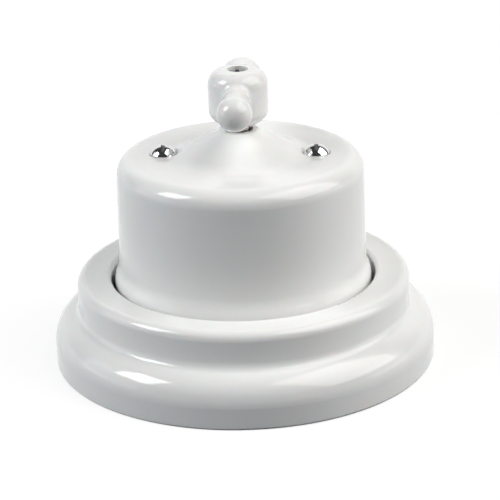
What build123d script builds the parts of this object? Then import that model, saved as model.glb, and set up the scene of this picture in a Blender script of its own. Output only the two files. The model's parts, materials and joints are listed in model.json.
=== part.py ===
from build123d import *
import math
import os

# A rotary light switch in glazed porcelain, standing on a moulded porcelain frame.
# Millimetres. The wall is the plane Z = 0, +Z points away from it, and Z is the axis of the spindle.
# X runs through the two cover screws, Y along the lever of the knob.

# Frame: a ring with an ogee moulding, a raised collar and a floor that carries the base
frame_recess_depth = 6.0
frame_rim_width = 6.0
frame_floor = 5.0
frame_side_height = 5.8
frame_foot_round = 0.7
frame_relief_wall = 4.0
frame_relief_depth = 3.0
moulding_step = 6.5
moulding_rise = 9.4
moulding_convex_share = 0.77
collar_width = 8.9
collar_round = 2.4
collar_lip_round = 1.2
frame_gap = 1.0
frame_wire_hole_diameter = 30.0

# Base: a disc with a spigot that the cover fits over
base_thickness = 7.0
base_inset = 0.3
base_edge_chamfer = 0.6
spigot_height = 2.5
spigot_clearance = 0.35
wire_hole_length = 9.0
wire_hole_width = 7.0
wire_hole_round = 1.5
wire_hole_offset = 10.5
mounting_spacing = 40.0
mounting_hole_diameter = 4.5
mounting_head_diameter = 9.0
mounting_head_depth = 3.0

# Cover: a cup with a flared foot, a round rim and a conical boss for the spindle
cover_foot_diameter = 67.2
cover_foot_height = 3.6
cover_foot_sink = 1.4
cover_flare_step = 1.3
cover_flare_rise = 5.4
cover_flare_convex_share = 0.45
cover_height = 36.8
cover_draft_angle = 1.0
cover_rim_round = 4.5
cover_wall = 4.2
cover_roof = 4.2
cover_inside_round = 3.0
boss_height = 6.6
boss_diameter = 10.0
boss_cone_angle = 29.0
boss_cone_round = 10.0
boss_edge_round = 0.6
boss_hole_clearance = 0.6

# Knob: a barrel hub with two arms that swell to round tips, the larger one at the back
knob_gap = 1.2
hub_height = 14.6
hub_diameter = 15.3
hub_foot_diameter = 8.0
hub_flare_angle = 58.0
hub_flare_round = 3.8
hub_top_round = 3.8
lever_lift = 0.3
lever_droop = 2.4
lever_reach = 15.9
lever_front_diameter = 9.0
lever_back_diameter = 10.8
lever_root_diameter = 3.4
lever_blend = 2.2
knob_web = 3.8
knob_screw_recess = 1.5

# Spindle: a bar with two flats, on a shoulder and a journal
spindle_diameter = 6.0
spindle_flats = 5.0
spindle_top_play = 0.2
spindle_end_play = 0.3
shoulder_diameter = 8.0
journal_diameter = 5.0
journal_depth = 6.0
running_clearance = 0.05
socket_clearance = 0.1
clip_thickness = 0.7
clip_diameter = 10.0
clip_groove_depth = 0.2
clip_mouth = 4.0

# Rotor, cam and detent springs
contact_height = 9.0
rotor_clearance = 1.4
rotor_thickness = 6.0
rotor_edge_chamfer = 0.6
cam_flats = 9.0
cam_corner_round = 1.2
cam_height = 4.2
spring_thickness = 0.5
spring_height = 3.0
spring_gap = 0.05
spring_tab = 1.6
spring_slot_clearance = 0.1
spring_end_clearance = 0.3

# Bearing bridge: a bent strap over the rotor, clamped under the pillars
bridge_thickness = 1.2
bridge_side_clearance = 0.6
bridge_gap = 0.6
bridge_bend = 0.8
bridge_foot_margin = 1.0
bridge_leg_clearance = 0.2

# Moving contact, rivets and the terminals
strap_thickness = 1.0
strap_width = 6.0
strap_margin = 2.4
strap_hole_clearance = 0.4
strap_ring_width = 2.1
rivet_diameter = 2.4
rivet_head_diameter = 4.0
rivet_dome_height = 0.7
rivet_top_height = 0.5
contact_gap = 0.3
terminal_thickness = 1.0
terminal_bend = 0.6
terminal_plate_width = 7.0
terminal_plate_margin = 0.7
terminal_finger_clearance = 2.6
terminal_inset = 7.3
terminal_angles = (45.0, 135.0, 225.0, 315.0)
clamp_size = 6.6
clamp_thickness = 1.2
clamp_clearance = 0.7
nut_size = 6.0
nut_thickness = 2.8
nut_pocket_clearance = 0.2
nut_pocket_depth = 4.0

# Pillars and screws
pillar_inset = 8.4
pillar_flats = 7.0
pillar_end_gap = 0.3
pillar_tapped_depth = 12.0
thread_clearance = 0.05
hole_clearance = 0.2
cover_screw_diameter = 4.0
cover_screw_length = 13.0
cover_screw_head_diameter = 6.7
cover_screw_rim_height = 0.3
cover_screw_dome_height = 2.2
cover_screw_head_sink = 0.2
pillar_screw_diameter = 4.0
pillar_screw_engagement = 8.0
pillar_screw_head_diameter = 7.0
pillar_screw_head_height = 2.4
pillar_screw_pocket_depth = 3.4
terminal_screw_diameter = 3.5
terminal_screw_head_diameter = 6.4
terminal_screw_head_height = 1.2
terminal_screw_dome_height = 0.9
terminal_screw_tip = 0.4
knob_screw_diameter = 3.0
knob_screw_engagement = 6.0
knob_screw_spare_depth = 2.0
knob_screw_head_diameter = 5.0
knob_screw_head_height = 0.6
knob_screw_dome_height = 0.8
slot_width = 0.9
slot_depth = 0.9

# Heights above the wall
floor_z = frame_recess_depth
seat_z = floor_z + frame_floor
rest_z = seat_z + base_thickness
deck_z = rest_z + spigot_height
foot_edge_z = rest_z + cover_foot_height
collar_z = foot_edge_z + cover_foot_sink
cover_z = rest_z + cover_height
ceiling_z = cover_z - cover_roof
boss_z = cover_z + boss_height
knob_z = boss_z + knob_gap
knob_top_z = knob_z + hub_height
knob_seat_z = knob_top_z - knob_screw_recess
socket_z = knob_seat_z - knob_web
spindle_top_z = socket_z - spindle_top_play
lever_z = knob_z + hub_height / 2 + lever_lift
shoulder_z = deck_z + spindle_end_play
rotor_z = deck_z + contact_height
strap_z = rotor_z - strap_thickness
finger_z = strap_z - rivet_dome_height - contact_gap - terminal_thickness
cam_z = rotor_z + rotor_thickness
clip_z = cam_z + cam_height
spring_z = cam_z + (cam_height - spring_height) / 2
bridge_z = clip_z + clip_thickness + bridge_gap
pillar_z = deck_z + bridge_thickness

# Radii and places in plan
foot_radius = cover_foot_diameter / 2
opening_radius = foot_radius + frame_gap
collar_radius = opening_radius + collar_width
frame_radius = collar_radius + moulding_step
recess_radius = frame_radius - frame_rim_width
inner_radius = foot_radius - cover_flare_step - cover_wall
spigot_radius = inner_radius - spigot_clearance
boss_radius = boss_diameter / 2
spindle_radius = spindle_diameter / 2
shoulder_radius = shoulder_diameter / 2
pillar_x = inner_radius - pillar_inset
leg_outer_x = pillar_x - pillar_flats / 2 - bridge_bend - bridge_leg_clearance
leg_inner_x = leg_outer_x - bridge_thickness
rotor_radius = leg_inner_x - rotor_clearance
finger_tip_radius = shoulder_radius + terminal_finger_clearance
contact_radius = (finger_tip_radius + rotor_radius) / 2
terminal_radius = spigot_radius - terminal_inset
riser_outer_radius = terminal_radius - clamp_size / 2 - clamp_clearance
riser_inner_radius = riser_outer_radius - terminal_thickness
contact_angle = terminal_angles[0]
riser_corner = Vector(riser_inner_radius, -terminal_plate_width / 2).rotate(Axis.Z, contact_angle)
bridge_half_width = riser_corner.Y - bridge_side_clearance
spring_y = cam_flats / 2 + spring_gap


def disc(radius, bottom, top, x=0.0, y=0.0):
    """An upright cylinder between two heights."""
    return Pos(x, y, bottom) * extrude(Circle(radius), top - bottom)


def prism(outline, bottom, top):
    """A sketch in plan, raised between two heights."""
    return Pos(0, 0, bottom) * extrude(outline, top - bottom)


def double_d(diameter, flats, bottom, top):
    """A round bar with two flats that face along X."""
    return prism(Circle(diameter / 2) & Rectangle(flats, diameter), bottom, top)


def turned(edges):
    """A body turned about Z from the edges of its half section, given as (radius, height)."""
    return revolve(Plane.XZ * make_face(edges), Axis.Z)


def bent(corners):
    """The outline of bent sheet from corners given as (x, y, bend radius)."""
    points = [(x, y) for x, y, _ in corners]
    radii = [radius for _, _, radius in corners]
    return make_face(FilletPolyline(*points, radius=radii, close=True))


def ogee(start, step, rise, convex_share, lean=0.0):
    """A convex and a concave arc that lead inward from an upright line to one that leans by an angle."""
    turn = 2 * math.degrees(math.atan(step / rise))
    radii = rise / math.sin(math.radians(turn))
    convex = JernArc(start, (0, 1), radii * convex_share, turn)
    concave = JernArc(convex @ 1, convex % 1, radii * (1 - convex_share), lean - turn)
    return convex, concave


def mounting_holes(radius, bottom, top):
    """The pair of wall screw holes, one each side of the spindle along Y."""
    places = (-mounting_spacing / 2, mounting_spacing / 2)
    return [disc(radius, bottom, top, 0, y) for y in places]


def ceramic_frame():
    relief_z = floor_z + frame_relief_depth
    relief_radius = opening_radius + frame_relief_wall
    wire_radius = frame_wire_hole_diameter / 2
    foot = Line((recess_radius, 0), (frame_radius - frame_foot_round, 0))
    foot_edge = JernArc(foot @ 1, (1, 0), frame_foot_round, 90)
    side = Line(foot_edge @ 1, (frame_radius, frame_side_height))
    convex, concave = ogee(side @ 1, moulding_step, moulding_rise, moulding_convex_share)
    collar = Line(concave @ 1, (collar_radius, collar_z - collar_round))
    collar_edge = JernArc(collar @ 1, (0, 1), collar_round, 90)
    top = Line(collar_edge @ 1, (opening_radius + collar_lip_round, collar_z))
    lip = JernArc(top @ 1, (-1, 0), collar_lip_round, 90)
    inside = Polyline(
        lip @ 1,
        (opening_radius, seat_z),
        (wire_radius, seat_z),
        (wire_radius, floor_z),
        (relief_radius, floor_z),
        (relief_radius, relief_z),
        (recess_radius, relief_z),
        (recess_radius, 0),
    )
    outside = [foot, foot_edge, side, convex, concave, collar, collar_edge, top, lip]
    body = turned(outside + inside.edges())
    return body - mounting_holes(mounting_hole_diameter / 2, floor_z, seat_z)


def ceramic_base():
    base_radius = foot_radius - base_inset
    section = Polyline(
        (0, seat_z),
        (base_radius - base_edge_chamfer, seat_z),
        (base_radius, seat_z + base_edge_chamfer),
        (base_radius, rest_z),
        (spigot_radius, rest_z),
        (spigot_radius, deck_z - base_edge_chamfer),
        (spigot_radius - base_edge_chamfer, deck_z),
        (0, deck_z),
        (0, seat_z),
    )
    body = turned(section.edges())
    body -= disc(journal_diameter / 2 + running_clearance, deck_z - journal_depth, deck_z)
    body -= mounting_holes(mounting_hole_diameter / 2, seat_z, deck_z)
    body -= mounting_holes(mounting_head_diameter / 2, deck_z - mounting_head_depth, deck_z)
    wire_hole = RectangleRounded(wire_hole_length, wire_hole_width, wire_hole_round)
    for y in (-wire_hole_offset, wire_hole_offset):
        body -= prism(Pos(0, y) * wire_hole, seat_z, deck_z)
    pocket_radius = pillar_screw_head_diameter / 2 + hole_clearance
    for x in (-pillar_x, pillar_x):
        body -= disc(pillar_screw_diameter / 2 + hole_clearance, seat_z, deck_z, x)
        body -= disc(pocket_radius, seat_z, seat_z + pillar_screw_pocket_depth, x)
    nut_pocket = Rectangle(nut_size + 2 * nut_pocket_clearance, nut_size + 2 * nut_pocket_clearance)
    for angle in terminal_angles:
        pocket = prism(Pos(terminal_radius, 0) * nut_pocket, seat_z, seat_z + nut_pocket_depth)
        hole = disc(terminal_screw_diameter / 2 + hole_clearance, seat_z, deck_z, terminal_radius)
        body -= Rot(0, 0, angle) * (pocket + hole)
    return body


def cover_section():
    """The edges of the cover's half section, from its foot up over the boss and down the inside."""
    lean = math.radians(cover_draft_angle)
    hole_radius = spindle_radius + boss_hole_clearance
    foot = Line((inner_radius, rest_z), (foot_radius, rest_z))
    side = Line(foot @ 1, (foot_radius, foot_edge_z))
    convex, concave = ogee(
        side @ 1, cover_flare_step, cover_flare_rise, cover_flare_convex_share, cover_draft_angle
    )
    wall_start = concave @ 1
    wall_top_z = cover_z - cover_rim_round * (1 - math.sin(lean))
    wall_top_radius = wall_start.X - (wall_top_z - wall_start.Y) * math.tan(lean)
    wall = Line(wall_start, (wall_top_radius, wall_top_z))
    rim = JernArc(wall @ 1, wall % 1, cover_rim_round, 90 - cover_draft_angle)
    cone_slope = math.radians(boss_cone_angle)
    cone_radius = boss_radius + boss_height / math.tan(cone_slope)
    roof = Line(rim @ 1, (cone_radius + boss_cone_round * math.tan(cone_slope / 2), cover_z))
    cone_foot = JernArc(roof @ 1, (-1, 0), boss_cone_round, -boss_cone_angle)
    cone = Line(cone_foot @ 1, (boss_radius, boss_z))
    hole = Polyline(
        cone @ 1,
        (hole_radius, boss_z),
        (hole_radius, ceiling_z),
        (inner_radius - cover_inside_round, ceiling_z),
    )
    corner = JernArc(hole @ 1, (1, 0), cover_inside_round, -90)
    inside = Line(corner @ 1, foot @ 0)
    outside = [foot, side, convex, concave, wall, rim, roof, cone_foot, cone]
    return [*outside, *hole.edges(), corner, inside]


def ceramic_cover():
    body = turned(cover_section())
    boss_edge = body.edges().filter_by(GeomType.CIRCLE).group_by(Axis.Z)[-1].sort_by(SortBy.RADIUS)[-1]
    body = fillet(boss_edge, boss_edge_round)
    hole_radius = cover_screw_diameter / 2 + hole_clearance
    sink_depth = (cover_screw_head_diameter - cover_screw_diameter) / 2
    sink_z = cover_z - cover_screw_head_sink - sink_depth
    sink_height = boss_z - sink_z
    countersink = Cone(hole_radius, hole_radius + sink_height, sink_height)
    for x in (-pillar_x, pillar_x):
        body -= disc(hole_radius, ceiling_z, cover_z, x)
        body -= Pos(x, 0, sink_z + sink_height / 2) * countersink
    return body


def knob_hub():
    """The barrel of the knob, from a narrow foot through a flare to a round top."""
    angle = math.radians(hub_flare_angle)
    hub_radius = hub_diameter / 2
    foot_edge = hub_foot_diameter / 2
    flare_step = hub_radius - foot_edge - hub_flare_round * (1 - math.cos(angle))
    flare_rise = flare_step / math.tan(angle)
    foot = Line((0, knob_z), (foot_edge, knob_z))
    flare = Line(foot @ 1, (foot_edge + flare_step, knob_z + flare_rise))
    flare_edge = JernArc(flare @ 1, flare % 1, hub_flare_round, hub_flare_angle)
    side = Line(flare_edge @ 1, (hub_radius, knob_top_z - hub_top_round))
    top_edge = JernArc(side @ 1, (0, 1), hub_top_round, 90)
    top = Polyline(top_edge @ 1, (0, knob_top_z), (0, knob_z))
    return turned([foot, flare, flare_edge, side, top_edge, *top.edges()])


def lever_arm(tip_diameter):
    """One arm along X: a cone that swells and droops from the spindle's axis to the sphere of its tip."""
    tip_radius = tip_diameter / 2
    root_radius = lever_root_diameter / 2
    length = math.hypot(lever_reach, lever_droop)
    slope = math.asin(tip_radius / math.hypot(length, root_radius)) - math.atan(root_radius / length)
    touch = (length - tip_radius * math.sin(slope), tip_radius * math.cos(slope))
    root = Line((0, 0), (0, root_radius))
    cone = Line(root @ 1, touch)
    tip = TangentArc(touch, (length + tip_radius, 0), tangent=cone % 1)
    axis = Line(tip @ 1, root @ 0)
    arm = revolve(make_face([root, cone, tip, axis]), Axis.X)
    return Rot(0, math.degrees(math.atan(lever_droop / lever_reach)), 0) * arm


def knob_lever():
    """Both arms along Y, with their tips at the height of the lever."""
    back = Rot(0, 0, 90) * lever_arm(lever_back_diameter)
    front = Rot(0, 0, -90) * lever_arm(lever_front_diameter)
    return Pos(0, 0, lever_z + lever_droop) * (back + front)


def ceramic_knob():
    hub = knob_hub()
    lever = knob_lever()
    body = hub + lever
    body = fillet(new_edges(hub, lever, combined=body), lever_blend)
    socket_round = spindle_diameter + 2 * socket_clearance
    socket_flats = spindle_flats + 2 * socket_clearance
    body -= double_d(socket_round, socket_flats, knob_z, socket_z)
    body -= disc(knob_screw_diameter / 2 + hole_clearance, socket_z, knob_seat_z)
    body -= disc(knob_screw_head_diameter / 2 + hole_clearance, knob_seat_z, knob_top_z)
    return body


def slotted_screw(shank, length, head, sink, rim, dome):
    """A slotted screw with its head on Z = 0: shank and head diameters, countersink, rim and dome heights."""
    edge = Polyline((0, -length), (shank / 2, -length), (shank / 2, -sink), (head / 2, 0), (head / 2, rim))
    top = rim + dome
    crown = TangentArc((0, top), edge @ 1, tangent=(1, 0))
    axis = Line((0, top), edge @ 0)
    slot = Pos(0, 0, top - slot_depth) * extrude(Rectangle(slot_width, head), slot_depth)
    return turned([*edge.edges(), crown, axis]) - slot


def cover_screw(x):
    sink = (cover_screw_head_diameter - cover_screw_diameter) / 2
    screw = slotted_screw(
        cover_screw_diameter,
        cover_screw_length,
        cover_screw_head_diameter,
        sink,
        cover_screw_rim_height,
        cover_screw_dome_height,
    )
    return Pos(x, 0, cover_z - cover_screw_head_sink) * screw


def knob_screw():
    length = knob_web + spindle_top_play + knob_screw_engagement
    screw = slotted_screw(
        knob_screw_diameter,
        length,
        knob_screw_head_diameter,
        0,
        knob_screw_head_height,
        knob_screw_dome_height,
    )
    return Pos(0, 0, knob_seat_z) * screw


def terminal_screw(angle):
    head_z = deck_z + terminal_thickness + clamp_thickness
    nut_bottom_z = seat_z + nut_pocket_depth - nut_thickness
    screw = slotted_screw(
        terminal_screw_diameter,
        head_z - nut_bottom_z + terminal_screw_tip,
        terminal_screw_head_diameter,
        0,
        terminal_screw_head_height,
        terminal_screw_dome_height,
    )
    return Rot(0, 0, angle) * Pos(terminal_radius, 0, head_z) * screw


def pillar_screw(x):
    head_z = seat_z + pillar_screw_pocket_depth
    screw = disc(pillar_screw_diameter / 2, head_z, pillar_z + pillar_screw_engagement, x)
    screw += disc(pillar_screw_head_diameter / 2, head_z - pillar_screw_head_height, head_z, x)
    slot = Pos(x, 0) * Rectangle(slot_width, pillar_screw_head_diameter)
    slot_z = head_z - pillar_screw_head_height
    return screw - prism(slot, slot_z, slot_z + slot_depth)


def cover_pillar(x):
    top_z = ceiling_z - pillar_end_gap
    outline = RegularPolygon(pillar_flats / 2, 6, major_radius=False, rotation=30)
    pillar = prism(Pos(x, 0) * outline, pillar_z, top_z)
    top_thread = disc(cover_screw_diameter / 2 + thread_clearance, top_z - pillar_tapped_depth, top_z, x)
    foot_radius_tapped = pillar_screw_diameter / 2 + thread_clearance
    foot_thread = disc(foot_radius_tapped, pillar_z, pillar_z + pillar_screw_engagement + hole_clearance, x)
    return pillar - top_thread - foot_thread


def switch_spindle():
    body = disc(journal_diameter / 2, deck_z - journal_depth + spindle_end_play, shoulder_z)
    body += disc(shoulder_radius, shoulder_z, rotor_z)
    body += double_d(spindle_diameter, spindle_flats, rotor_z, spindle_top_z)
    groove_radius = spindle_flats / 2 - clip_groove_depth
    groove = Circle(spindle_radius) - Circle(groove_radius)
    body -= prism(groove, clip_z, clip_z + clip_thickness)
    tapped_depth = knob_screw_engagement + knob_screw_spare_depth
    tapped_radius = knob_screw_diameter / 2 + thread_clearance
    return body - disc(tapped_radius, spindle_top_z - tapped_depth, spindle_top_z)


def spindle_clip():
    hole_radius = spindle_flats / 2 - clip_groove_depth + running_clearance
    mouth = Pos(clip_diameter / 2, 0) * Rectangle(clip_diameter, clip_mouth)
    outline = Circle(clip_diameter / 2) - Circle(hole_radius) - mouth
    return prism(outline, clip_z, clip_z + clip_thickness)


def rivet_places():
    """The two rivets lie across the spindle, over one pair of contact fingers."""
    return [Rot(0, 0, contact_angle + turn) * Pos(contact_radius, 0) for turn in (0, 180)]


def spindle_bore(bottom, top):
    """The hole with two flats that fits the spindle."""
    return double_d(
        spindle_diameter + 2 * running_clearance, spindle_flats + 2 * running_clearance, bottom, top
    )


def rotor():
    edge = rotor_radius - rotor_edge_chamfer
    section = Polyline(
        (0, rotor_z),
        (edge, rotor_z),
        (rotor_radius, rotor_z + rotor_edge_chamfer),
        (rotor_radius, cam_z - rotor_edge_chamfer),
        (edge, cam_z),
        (0, cam_z),
        (0, rotor_z),
    )
    body = turned(section.edges()) - spindle_bore(rotor_z, cam_z)
    for place in rivet_places():
        body -= place * disc(rivet_diameter / 2, rotor_z, cam_z)
    return body


def moving_contact():
    hole_radius = shoulder_radius + strap_hole_clearance
    length = 2 * (contact_radius + strap_margin)
    outline = Rectangle(length, strap_width) + Circle(hole_radius + strap_ring_width)
    strap = prism(Rot(0, 0, contact_angle) * (outline - Circle(hole_radius)), strap_z, rotor_z)
    for place in rivet_places():
        strap -= place * disc(rivet_diameter / 2, strap_z, rotor_z)
    return strap


def contact_rivet(place):
    shank = rivet_diameter / 2
    head = rivet_head_diameter / 2
    crown = TangentArc((0, strap_z - rivet_dome_height), (head, strap_z), tangent=(1, 0))
    upper = Polyline(
        crown @ 1,
        (shank, strap_z),
        (shank, cam_z),
        (head, cam_z),
        (head, cam_z + rivet_top_height),
        (0, cam_z + rivet_top_height),
        crown @ 0,
    )
    return place * turned([crown, *upper.edges()])


def detent_cam():
    outline = RectangleRounded(cam_flats, cam_flats, cam_corner_round)
    return prism(outline, cam_z, clip_z) - spindle_bore(cam_z, clip_z)


def detent_spring(side):
    """A leaf along X against one flat of the cam, with both ends turned out behind the bridge's legs."""
    inner_end = leg_outer_x + spring_end_clearance
    end = inner_end + spring_thickness
    back = spring_y + spring_thickness
    tab = back + spring_tab
    right = [(end, tab, 0), (inner_end, tab, 0), (inner_end, back, 0)]
    left = [(-x, y, radius) for x, y, radius in reversed(right)]
    corners = [(-end, spring_y, 0), (end, spring_y, 0), *right, *left]
    leaf = bent(corners)
    return prism(Rot(0, 0, 0 if side > 0 else 180) * leaf, spring_z, spring_z + spring_height)


def bearing_bridge():
    top_z = bridge_z + bridge_thickness
    foot_end = pillar_x + pillar_flats / 2 + bridge_foot_margin
    outer_bend = bridge_bend + bridge_thickness
    right = [
        (leg_outer_x, top_z, outer_bend),
        (leg_outer_x, pillar_z, bridge_bend),
        (foot_end, pillar_z, 0),
        (foot_end, deck_z, 0),
        (leg_inner_x, deck_z, outer_bend),
        (leg_inner_x, bridge_z, bridge_bend),
    ]
    left = [(-x, z, radius) for x, z, radius in reversed(right)]
    strap = extrude(Plane.XZ * bent(right + left), bridge_half_width, both=True)
    strap -= disc(spindle_radius + running_clearance, bridge_z, top_z)
    slot = Rectangle(2 * foot_end, spring_thickness + 2 * spring_slot_clearance)
    slot_bottom = spring_z - spring_slot_clearance
    slot_top = spring_z + spring_height + spring_slot_clearance
    for side in (-1, 1):
        strap -= disc(pillar_screw_diameter / 2 + hole_clearance, deck_z, pillar_z, side * pillar_x)
        centre_y = side * (spring_y + spring_thickness / 2)
        strap -= prism(Pos(0, centre_y) * slot, slot_bottom, slot_top)
    return strap


def terminal(angle):
    """A strip bent twice: a plate on the base, a riser and a finger under the rotor."""
    end = terminal_radius + clamp_size / 2 + terminal_plate_margin
    plate_top_z = deck_z + terminal_thickness
    finger_top_z = finger_z + terminal_thickness
    outer_bend = terminal_bend + terminal_thickness
    outline = bent(
        [
            (end, deck_z, 0),
            (riser_inner_radius, deck_z, outer_bend),
            (riser_inner_radius, finger_z, terminal_bend),
            (finger_tip_radius, finger_z, 0),
            (finger_tip_radius, finger_top_z, 0),
            (riser_outer_radius, finger_top_z, outer_bend),
            (riser_outer_radius, plate_top_z, terminal_bend),
            (end, plate_top_z, 0),
        ]
    )
    strip = extrude(Plane.XZ * outline, terminal_plate_width / 2, both=True)
    hole_radius = terminal_screw_diameter / 2 + hole_clearance
    return Rot(0, 0, angle) * (strip - disc(hole_radius, deck_z, plate_top_z, terminal_radius))


def clamp_washer(angle):
    bottom = deck_z + terminal_thickness
    plate = Rectangle(clamp_size, clamp_size) - Circle(terminal_screw_diameter / 2 + hole_clearance)
    return Rot(0, 0, angle) * prism(Pos(terminal_radius, 0) * plate, bottom, bottom + clamp_thickness)


def terminal_nut(angle):
    top = seat_z + nut_pocket_depth
    plate = Rectangle(nut_size, nut_size) - Circle(terminal_screw_diameter / 2 + thread_clearance)
    return Rot(0, 0, angle) * prism(Pos(terminal_radius, 0) * plate, top - nut_thickness, top)


def pieces():
    """Every piece of the switch by name."""
    nodes = {
        "ceramic_frame": ceramic_frame(),
        "ceramic_base": ceramic_base(),
        "ceramic_cover": ceramic_cover(),
        "ceramic_knob": ceramic_knob(),
        "knob_screw": knob_screw(),
        "switch_spindle": switch_spindle(),
        "spindle_clip": spindle_clip(),
        "rotor": rotor(),
        "moving_contact": moving_contact(),
        "detent_cam": detent_cam(),
        "bearing_bridge": bearing_bridge(),
        "detent_spring_front": detent_spring(-1),
        "detent_spring_back": detent_spring(1),
    }
    for side, x in (("left", -pillar_x), ("right", pillar_x)):
        nodes[f"cover_screw_{side}"] = cover_screw(x)
        nodes[f"cover_pillar_{side}"] = cover_pillar(x)
        nodes[f"pillar_screw_{side}"] = pillar_screw(x)
    for number, place in enumerate(rivet_places(), 1):
        nodes[f"contact_rivet_{number}"] = contact_rivet(place)
    for number, angle in enumerate(terminal_angles, 1):
        nodes[f"terminal_{number}"] = terminal(angle)
        nodes[f"terminal_screw_{number}"] = terminal_screw(angle)
        nodes[f"clamp_washer_{number}"] = clamp_washer(angle)
        nodes[f"terminal_nut_{number}"] = terminal_nut(angle)
    return nodes


os.makedirs("parts", exist_ok=True)
for name, solid in pieces().items():
    export_step(solid, f"parts/{name}.step")
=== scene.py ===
import json
import math

import bpy
from mathutils import Matrix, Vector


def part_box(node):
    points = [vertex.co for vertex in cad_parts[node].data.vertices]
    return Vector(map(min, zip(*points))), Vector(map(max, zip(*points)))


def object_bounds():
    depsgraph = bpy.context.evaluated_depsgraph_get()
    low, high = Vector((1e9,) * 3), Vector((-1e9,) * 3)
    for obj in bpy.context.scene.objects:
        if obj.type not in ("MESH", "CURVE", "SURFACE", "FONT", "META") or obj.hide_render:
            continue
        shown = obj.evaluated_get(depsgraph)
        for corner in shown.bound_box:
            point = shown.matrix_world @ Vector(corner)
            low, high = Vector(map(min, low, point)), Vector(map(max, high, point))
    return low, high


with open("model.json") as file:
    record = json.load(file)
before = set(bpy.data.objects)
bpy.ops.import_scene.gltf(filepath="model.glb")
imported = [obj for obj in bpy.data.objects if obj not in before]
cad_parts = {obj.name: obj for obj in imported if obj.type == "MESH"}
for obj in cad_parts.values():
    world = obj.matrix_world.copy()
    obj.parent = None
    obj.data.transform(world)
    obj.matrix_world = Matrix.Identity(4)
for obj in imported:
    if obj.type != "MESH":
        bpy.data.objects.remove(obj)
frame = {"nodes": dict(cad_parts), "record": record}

# The looks of a rotary light switch in glazed porcelain. Metres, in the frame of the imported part:
# Z is the spindle's axis, X runs through the cover screws and the camera stands towards -Y.

cad_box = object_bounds()
millimetre = 0.001

# Camera, fitted to the photograph, which is square. Angles in degrees
camera_height = 0.2209
camera_distance = 0.5004
camera_pitch = 21.08
camera_yaw = 0.22
camera_roll = -1.61
camera_turn = 3.8
camera_lens = 147.6
sensor_width = 36.0

# Glaze: two whites that it clouds between, a few brown specks, and how uneven its surface is
glaze_whites = ((0.885, 0.885, 0.872), (0.905, 0.906, 0.9))
glaze_roughness = (0.06, 0.1)
speck_brown = (0.5, 0.43, 0.34)
speck_strength = 0.3
wave_depth = 0.12 * millimetre
ripple_depth = 0.05 * millimetre
peel_depth = 0.0025 * millimetre

# Biscuit: the bare porcelain that the glaze leaves, up to a wavering line above the foot of each piece
biscuit_greys = ((0.74, 0.71, 0.65), (0.83, 0.81, 0.76))
biscuit_roughness = 0.75
biscuit_height = 0.6 * millimetre
biscuit_waver = 0.5 * millimetre
biscuit_fade = 0.25 * millimetre
grain_depth = 0.03 * millimetre

# Metals: bright colour, dull colour, roughness and depth of the polishing lines
metals = {
    "chrome": ((0.82, 0.82, 0.83), (0.7, 0.7, 0.71), 0.05, 0.0004 * millimetre),
    "brass": ((0.78, 0.57, 0.27), (0.55, 0.37, 0.16), 0.14, 0.002 * millimetre),
    "silver": ((0.86, 0.85, 0.82), (0.6, 0.58, 0.54), 0.16, 0.002 * millimetre),
    "zinc_steel": ((0.62, 0.64, 0.67), (0.48, 0.5, 0.52), 0.2, 0.002 * millimetre),
    "spring_steel": ((0.3, 0.32, 0.37), (0.2, 0.2, 0.23), 0.16, 0.0015 * millimetre),
    "dark_chrome": ((0.26, 0.26, 0.27), (0.18, 0.18, 0.18), 0.08, 0.0008 * millimetre),
    "nickel": ((0.42, 0.41, 0.38), (0.28, 0.27, 0.25), 0.2, 0.002 * millimetre),
}
own_metals = {"knob_screw": "dark_chrome", "switch_spindle": "nickel"}

# The screws that show. Their slots run along Y through the middle of the head, and inside they are coloured
# near black as painted shade
slotted_screws = ("cover_screw_left", "cover_screw_right", "knob_screw")
slot_width = 0.9 * millimetre
slot_depth = 0.9 * millimetre
slot_painted_shade = (0.08, 0.08, 0.08)
slot_roughness = 0.45

# Resin of the pieces that insulate
resin_browns = ((0.055, 0.03, 0.02), (0.12, 0.065, 0.04))
resin_roughness = (0.18, 0.32)
mottle_depth = 0.004 * millimetre

# Studio: soft boxes in a dim room. Degrees round from -Y towards +X and above the floor, width, brightness
white = (1.0, 1.0, 1.0)
cool_white = (0.97, 0.99, 1.0)
warm_white = (1.0, 0.99, 0.965)
box_distance = 2.4
soft_boxes = {
    "left_panel": (-72, 40, 1.0, 9.0, cool_white),
    "left_low": (-85, 16, 1.9, 1.15, cool_white),
    "right_panel": (80, 46, 2.4, 3.1, warm_white),
    "right_low": (95, 14, 1.4, 1.2, warm_white),
}
room_level = 0.05

# White backdrop: it fades in between two directions behind the object, and between two heights all round
backdrop_level = 1.0
backdrop_behind = (0.5, 0.8)
backdrop_low = (0.2, 0.1)

# Floor: its paint and glow make white where it is seen, and its bounce is what it throws back elsewhere
floor_half_width = 4.0
floor_roughness = 0.9
floor_paint = (0.25, 0.25, 0.25)
floor_glow = 0.8
floor_bounce = (0.045, 0.06, 0.085)


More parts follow.
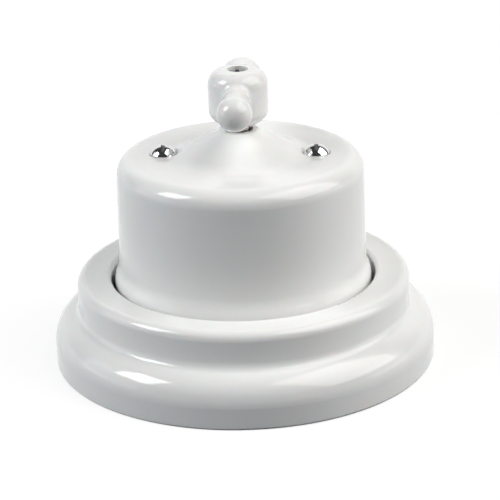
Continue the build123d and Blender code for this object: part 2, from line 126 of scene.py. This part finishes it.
class Nodes:
    """A node tree, with short calls for the nodes that are used here."""

    def __init__(self, tree):
        self.tree = tree

    def add(self, kind, **settings):
        node = self.tree.nodes.new(kind)
        for setting, value in settings.items():
            setattr(node, setting, value)
        return node

    def feed(self, socket, value):
        """Links an output to a socket, or sets a constant on it."""
        if isinstance(value, bpy.types.NodeSocket):
            self.tree.links.new(value, socket)
        elif isinstance(value, tuple) and socket.type == "RGBA":
            socket.default_value = (*value, 1.0)
        else:
            socket.default_value = value

    def calculate(self, operation, a, b):
        node = self.add("ShaderNodeMath", operation=operation)
        self.feed(node.inputs[0], a)
        self.feed(node.inputs[1], b)
        return node.outputs["Value"]

    def remap(self, value, low, high, to_low=0.0, to_high=1.0):
        """A value's range mapped to another, with smooth ends."""
        node = self.add("ShaderNodeMapRange", interpolation_type="SMOOTHSTEP")
        for socket, number in zip(node.inputs, (value, low, high, to_low, to_high)):
            self.feed(socket, number)
        return node.outputs["Result"]

    def mix(self, share, a, b):
        """A colour between two colours."""
        node = self.add("ShaderNodeMix", data_type="RGBA")
        self.feed(node.inputs[0], share)
        self.feed(node.inputs[6], a)
        self.feed(node.inputs[7], b)
        return node.outputs[2]

    def coordinate(self, vector, axis):
        """One of the three numbers of a vector."""
        node = self.add("ShaderNodeSeparateXYZ")
        self.feed(node.inputs["Vector"], vector)
        return node.outputs[axis]

    def background_rays(self):
        """1 for the rays that see the background itself: camera, glossy and transmission rays."""
        ray = self.add("ShaderNodeLightPath").outputs
        seen = self.calculate("MAXIMUM", ray["Is Camera Ray"], ray["Is Glossy Ray"])
        return self.calculate("MAXIMUM", seen, ray["Is Transmission Ray"])


class Finish(Nodes):
    """A procedural material on one Principled shader."""

    def __init__(self, name, **constants):
        self.material = bpy.data.materials.new(name)
        self.material.use_nodes = True
        super().__init__(self.material.node_tree)
        self.shader = self.tree.nodes["Principled BSDF"]
        self.place = self.add("ShaderNodeTexCoord").outputs["Object"]
        self.drive(**constants)

    def drive(self, **values):
        """Feeds the shader's own sockets."""
        for socket, value in values.items():
            self.feed(self.shader.inputs[socket.replace("_", " ")], value)

    def stretched(self, x, y, z):
        """The place on the piece, scaled along each axis."""
        node = self.add("ShaderNodeMapping")
        self.feed(node.inputs["Vector"], self.place)
        node.inputs["Scale"].default_value = (x, y, z)
        return node.outputs["Vector"]

    def noise(self, size, detail, place=None):
        """A cloudy value from 0 to 1 with features of that size."""
        node = self.add("ShaderNodeTexNoise")
        self.feed(node.inputs["Vector"], place or self.place)
        node.inputs["Scale"].default_value = 1.0 / size
        node.inputs["Detail"].default_value = detail
        return node.outputs["Fac"]

    def specks(self, spacing, radius, share):
        """1 on sparse round specks: a share of the cells has one."""
        cells = self.add("ShaderNodeTexVoronoi")
        self.feed(cells.inputs["Vector"], self.place)
        cells.inputs["Scale"].default_value = 1.0 / spacing
        near = self.remap(cells.outputs["Distance"], radius / spacing, 0.4 * radius / spacing)
        chance = self.add("ShaderNodeSeparateColor")
        self.feed(chance.inputs["Color"], cells.outputs["Color"])
        kept = self.calculate("LESS_THAN", chance.outputs["Red"], share)
        return self.calculate("MULTIPLY", near, kept)

    def slot(self, low, high):
        """1 in the slot of a screw with those lowest and highest corners, and 0 on the rest of it."""
        aside = self.calculate("SUBTRACT", self.coordinate(self.place, "X"), (low.x + high.x) / 2)
        distance = self.calculate("MAXIMUM", aside, self.calculate("MULTIPLY", aside, -1.0))
        between = self.remap(distance, 0.5 * slot_width, 0.55 * slot_width, 1.0, 0.0)
        under_floor = high.z - 1.01 * slot_depth
        above = self.remap(self.coordinate(self.place, "Z"), under_floor - 0.04 * slot_depth, under_floor)
        return self.calculate("MULTIPLY", between, above)

    def bumps(self, *layers):
        """Bumps the surface by layers given as (height from 0 to 1, depth)."""
        normal = None
        for value, depth in layers:
            node = self.add("ShaderNodeBump")
            node.inputs["Distance"].default_value = depth
            self.feed(node.inputs["Height"], value)
            if normal:
                self.feed(node.inputs["Normal"], normal)
            normal = node.outputs["Normal"]
        self.drive(Normal=normal)


def porcelain(node):
    """White glaze, a little cloudy and uneven, that leaves the foot of the piece bare."""
    low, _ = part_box(node)
    finish = Finish(f"porcelain_{node}", IOR=1.5, Subsurface_Weight=0.12, Subsurface_Scale=1.5 * millimetre)
    cloud = finish.noise(14 * millimetre, 3.0)
    wave = finish.noise(18 * millimetre, 1.0)
    ripple = finish.noise(6 * millimetre, 1.0)
    peel = finish.noise(1.6 * millimetre, 1.0)
    grain = finish.noise(0.25 * millimetre, 2.0)
    specks = finish.specks(7 * millimetre, 0.18 * millimetre, 0.12)
    speckle = finish.calculate("MULTIPLY", specks, speck_strength)
    glaze = finish.mix(speckle, finish.mix(cloud, *glaze_whites), speck_brown)
    waver = finish.calculate("MULTIPLY", wave, biscuit_waver)
    height = finish.calculate("ADD", finish.coordinate(finish.place, "Z"), waver)
    edge = low.z + biscuit_height
    bare = finish.remap(height, edge, edge + biscuit_fade, 1.0, 0.0)
    gloss = finish.remap(cloud, 0.3, 0.7, *glaze_roughness)
    finish.drive(
        Base_Color=finish.mix(bare, glaze, finish.mix(grain, *biscuit_greys)),
        Roughness=finish.remap(bare, 0.0, 1.0, gloss, biscuit_roughness),
    )
    finish.bumps(
        (wave, wave_depth),
        (ripple, ripple_depth),
        (peel, peel_depth),
        (finish.calculate("MULTIPLY", grain, bare), grain_depth),
    )
    return finish.material


def plated(name, bright, dull, gloss, line_depth, screw=None):
    """Bright metal with faint polishing lines and smears, and painted shade in the slot if it is a screw.
    """
    finish = Finish(name, Metallic=1.0)
    smear = finish.noise(2.5 * millimetre, 3.0)
    lines = finish.noise(0.12 * millimetre, 1.0, finish.stretched(1.0, 0.06, 1.0))
    colour = finish.mix(finish.remap(smear, 0.35, 0.75), bright, dull)
    roughness = finish.remap(smear, 0.3, 0.8, gloss, 2.5 * gloss)
    if screw:
        slot = finish.slot(*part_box(screw))
        # painted shade: the slot's colour goes near black, standing in for the shade inside the recess
        colour = finish.mix(slot, colour, slot_painted_shade)
        roughness = finish.remap(slot, 0.0, 1.0, roughness, slot_roughness)
    finish.drive(Base_Color=colour, Roughness=roughness)
    finish.bumps((lines, line_depth))
    return finish.material


def moulded():
    """Dark moulded resin with a faint mottle."""
    finish = Finish("moulded_resin", IOR=1.55)
    mottle = finish.noise(1.5 * millimetre, 4.0)
    finish.drive(
        Base_Color=finish.mix(mottle, *resin_browns),
        Roughness=finish.remap(mottle, 0.3, 0.7, *resin_roughness),
    )
    finish.bumps((mottle, mottle_depth))
    return finish.material


def dress():
    """Gives each piece of the frame its finish."""
    resin = moulded()
    shared = {name: plated(name, *look) for name, look in metals.items()}
    for part in frame["record"]["subparts"]:
        name = part["node"]
        slot = part["material_slot"]
        metal = own_metals.get(name, slot)
        if slot == "porcelain":
            material = porcelain(name)
        elif name in slotted_screws:
            material = plated(f"{metal}_{name}", *metals[metal], screw=name)
        else:
            material = shared.get(metal, resin)
        node = frame["nodes"][name]
        node.data.materials.clear()
        node.data.materials.append(material)


def put(name, data):
    """A new object in the scene."""
    thing = bpy.data.objects.new(name, data)
    bpy.context.scene.collection.objects.link(thing)
    return thing


def soft_box(name, azimuth, elevation, width, brightness, colour):
    """A square soft box that faces the object."""
    data = bpy.data.lights.new(name, "AREA")
    data.size = width
    data.energy = brightness * math.pi * width**2
    data.color = colour
    turn = Matrix.Rotation(math.radians(azimuth), 4, "Z")
    tilt = Matrix.Rotation(math.radians(90 - elevation), 4, "X")
    put(name, data).matrix_world = turn @ tilt @ Matrix.Translation((0, 0, box_distance))


def room():
    """The world: dim, but white where it is seen behind the object and low down all round."""
    world = bpy.data.worlds.new("studio")
    world.use_nodes = True
    bpy.context.scene.world = world
    nodes = Nodes(world.node_tree)
    direction = nodes.add("ShaderNodeTexCoord").outputs["Generated"]
    behind = nodes.remap(nodes.coordinate(direction, "Y"), *backdrop_behind)
    low = nodes.remap(nodes.coordinate(direction, "Z"), *backdrop_low)
    backdrop = nodes.calculate("MAXIMUM", behind, low)
    share = nodes.calculate("MULTIPLY", backdrop, nodes.background_rays())
    rise = nodes.calculate("MULTIPLY", share, backdrop_level - room_level)
    background = world.node_tree.nodes["Background"]
    nodes.feed(background.inputs["Color"], white)
    nodes.feed(background.inputs["Strength"], nodes.calculate("ADD", rise, room_level))


def floor():
    """A wide floor that is white where it is seen and dim in the light that it throws back."""
    mesh = bpy.data.meshes.new("floor")
    corners = ((-1, -1), (1, -1), (1, 1), (-1, 1))
    points = [(x * floor_half_width, y * floor_half_width, cad_box[0][2]) for x, y in corners]
    mesh.from_pydata(points, [], [(0, 1, 2, 3)])
    finish = Finish("floor", Roughness=floor_roughness, Specular_IOR_Level=0.0, Emission_Color=white)
    seen = finish.background_rays()
    finish.drive(
        Base_Color=finish.mix(seen, floor_bounce, floor_paint),
        Emission_Strength=finish.calculate("MULTIPLY", seen, floor_glow),
    )
    mesh.materials.append(finish.material)
    put("floor", mesh)


def camera():
    """The camera at the photograph's place: turned about Z, moved out and up, then aimed."""
    data = bpy.data.cameras.new("camera")
    data.lens = camera_lens
    data.sensor_width = sensor_width
    seen_from = put("camera", data)
    seen_from.matrix_world = (
        Matrix.Rotation(math.radians(camera_turn), 4, "Z")
        @ Matrix.Translation((0, -camera_distance, camera_height))
        @ Matrix.Rotation(math.radians(-camera_yaw), 4, "Z")
        @ Matrix.Rotation(math.radians(90 - camera_pitch), 4, "X")
        @ Matrix.Rotation(math.radians(camera_roll), 4, "Z")
    )
    bpy.context.scene.camera = seen_from


dress()
for box_name, settings in soft_boxes.items():
    soft_box(box_name, *settings)
room()
floor()
camera()
bpy.context.scene.view_settings.view_transform = "Standard"
